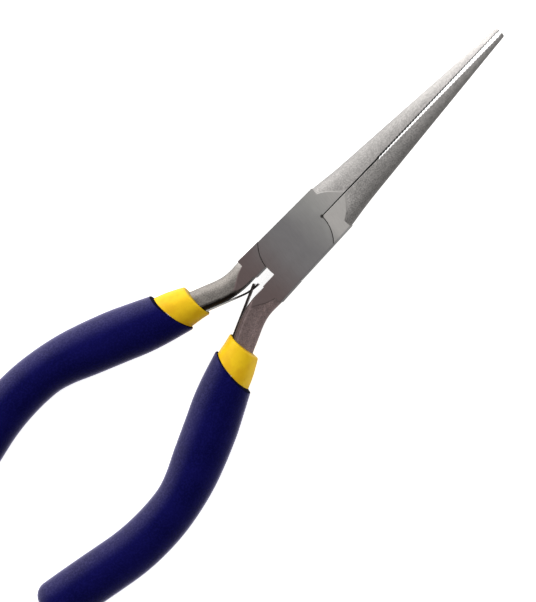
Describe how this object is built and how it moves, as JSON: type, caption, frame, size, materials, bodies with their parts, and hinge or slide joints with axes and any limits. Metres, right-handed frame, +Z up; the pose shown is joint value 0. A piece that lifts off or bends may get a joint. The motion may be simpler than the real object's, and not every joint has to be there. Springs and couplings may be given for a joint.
{
  "type": "needle nose pliers",
  "caption": "Lap-joint pliers with long tapering serrated jaws, interlocked leaf return springs, and two-layer curved grips.",
  "frame": {"origin": "on the pivot axis, at the joint's lower ground face", "axes": "+X towards the jaw tips, +Z up with the tool lying flat, Z is the pivot axis"},
  "size_m": [0.1511, 0.0494, 0.0104],
  "materials": {
    "forged_steel": "sandblasted forging with ground joint faces",
    "rivet_steel": "ground flush",
    "spring_steel": "bright rolled strip",
    "yellow_liner": "satin dipped vinyl",
    "blue_sleeve": "fine-grained soft sleeve"
  },
  "bodies": {
    "upper": {"upper_half": "forged_steel", "pivot_rivet": "rivet_steel", "slotted_spring_rivet": "rivet_steel", "upper_half_liner": "yellow_liner", "upper_half_sleeve": "blue_sleeve"},
    "lower": {"lower_half": "forged_steel", "tongue_spring_rivet": "rivet_steel", "lower_half_liner": "yellow_liner", "lower_half_sleeve": "blue_sleeve"},
    "upper_leaf": {"slotted_spring": "spring_steel"},
    "lower_leaf": {"tongue_spring": "spring_steel"}
  },
  "joints": [
    {"name": "pivot", "type": "hinge", "parent": "upper", "child": "lower", "pos_m": [0, 0, 0.0037], "axis": [0, 0, -1], "range_deg": [-0.65, 20], "stiffness_Nm_per_rad": 0.35},
    {"name": "upper_leaf_flex", "type": "hinge", "parent": "upper", "child": "upper_leaf", "pos_m": [-0.02237, -0.00367, 0.0037], "axis": [0, 0, 1], "range_deg": [-0.6, 17.7], "deforming": ["slotted_spring"]},
    {"name": "lower_leaf_flex", "type": "hinge", "parent": "lower", "child": "lower_leaf", "pos_m": [-0.02237, 0.00367, 0.0037], "axis": [0, 0, -1], "range_deg": [-0.6, 17.7], "deforming": ["tongue_spring"]}
  ],
  "couplings": [
    {"joint": "upper_leaf_flex", "follows": "pivot", "ratio": 0.88},
    {"joint": "lower_leaf_flex", "follows": "pivot", "ratio": 0.88}
  ]
}
